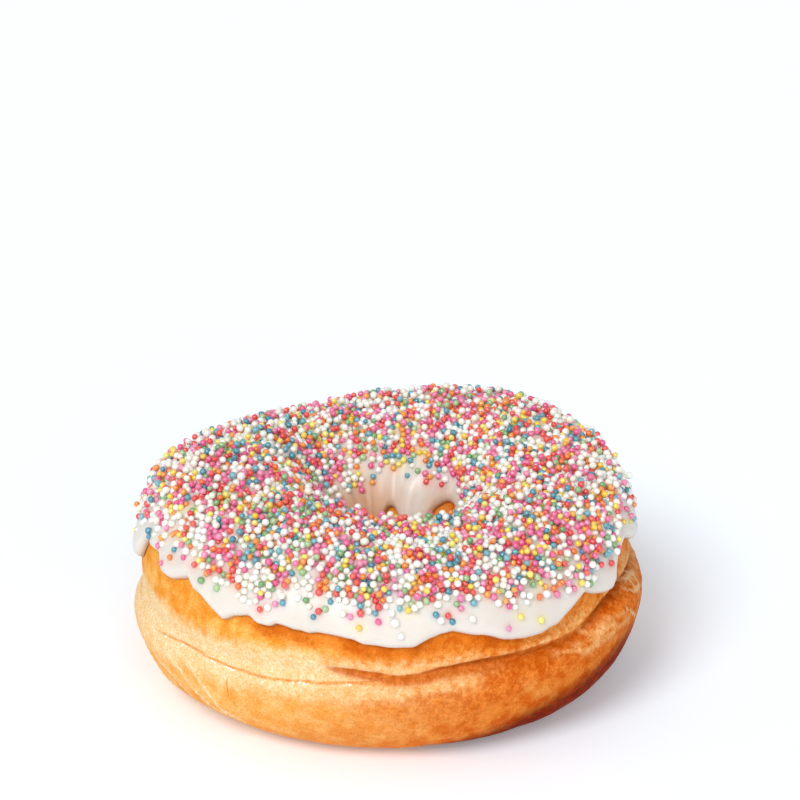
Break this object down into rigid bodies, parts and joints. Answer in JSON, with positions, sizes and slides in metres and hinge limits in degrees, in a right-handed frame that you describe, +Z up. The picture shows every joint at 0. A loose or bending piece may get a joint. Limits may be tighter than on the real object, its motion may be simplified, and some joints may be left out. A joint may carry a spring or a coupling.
{
  "type": "sprinkle frosted doughnut",
  "caption": "Ring doughnut of fried dough with a pale crease round its side, white icing run down in uneven tongues, and round sugar sprinkles of many colours.",
  "frame": {"origin": "on the surface it rests on, under the middle of the ring's outline", "axes": "+Z up through the hole, -Y towards the front, +X to the front's right"},
  "size_m": [0.0912, 0.0914, 0.0416],
  "materials": {
    "fried_dough": "fried crust, golden on both faces and pale along the crease",
    "white_icing": "set sugar icing with a soft sheen",
    "white_sprinkles": "pearly sugar",
    "pink_sprinkles": "pearly sugar",
    "red_sprinkles": "pearly sugar",
    "orange_sprinkles": "pearly sugar",
    "yellow_sprinkles": "pearly sugar",
    "blue_sprinkles": "pearly sugar",
    "green_sprinkles": "pearly sugar"
  },
  "bodies": {
    "root": {"dough_ring": "fried_dough", "icing": "white_icing"}
  },
  "joints": []
}
